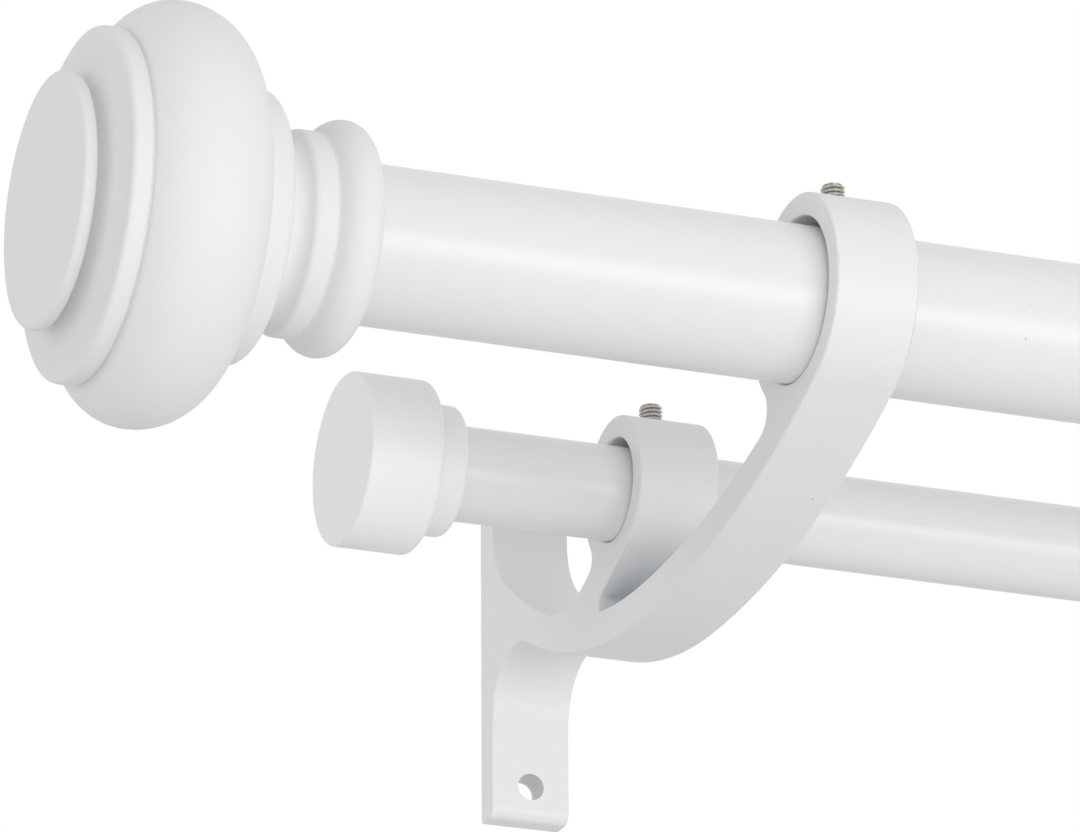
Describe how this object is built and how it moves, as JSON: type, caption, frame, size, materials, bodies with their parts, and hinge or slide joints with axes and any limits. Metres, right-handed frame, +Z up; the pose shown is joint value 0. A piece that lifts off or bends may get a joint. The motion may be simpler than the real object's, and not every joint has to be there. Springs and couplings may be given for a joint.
{
  "type": "double curtain pole",
  "caption": "Double curtain pole: a thick front tube and a slim back tube, both telescopic, on one-piece bowed wall brackets, with turned finials in front and plain caps behind.",
  "frame": {"origin": "middle of the left bracket's wall screw holes, on the wall", "axes": "+X along the poles towards the right bracket, +Y into the wall, +Z up"},
  "size_m": [0.8112, 0.1707, 0.0787],
  "materials": {
    "tube_coat": "satin white powder coat on drawn steel tube",
    "bracket_coat": "satin white powder coat on a one-piece metal profile",
    "finial_lacquer": "matt white lacquer on turned resin",
    "cap_coat": "satin white paint on a turned metal cap",
    "plated_screw": "dull nickel plate",
    "zinc_stud": "bright zinc plate",
    "moulded_nylon": "natural moulded nylon"
  },
  "bodies": {
    "fixed_end": {"left_bracket": "bracket_coat", "front_outer_tube": "tube_coat", "back_outer_tube": "tube_coat", "left_front_clamp_screw": "plated_screw", "left_back_clamp_screw": "plated_screw", "left_finial": "finial_lacquer", "left_finial_stud": "zinc_stud", "left_front_plug": "moulded_nylon", "left_end_cap": "cap_coat", "left_cap_stud": "zinc_stud", "left_back_plug": "moulded_nylon"},
    "sliding_end": {"front_inner_tube": "tube_coat", "back_inner_tube": "tube_coat", "front_glide": "moulded_nylon", "back_glide": "moulded_nylon", "right_bracket": "bracket_coat", "right_front_clamp_screw": "plated_screw", "right_back_clamp_screw": "plated_screw", "right_finial": "finial_lacquer", "right_finial_stud": "zinc_stud", "right_front_plug": "moulded_nylon", "right_end_cap": "cap_coat", "right_cap_stud": "zinc_stud", "right_back_plug": "moulded_nylon"}
  },
  "joints": [
    {"name": "pole_extension", "type": "slide", "parent": "fixed_end", "child": "sliding_end", "axis": [1, 0, 0], "range_m": [0, 0.457]}
  ]
}
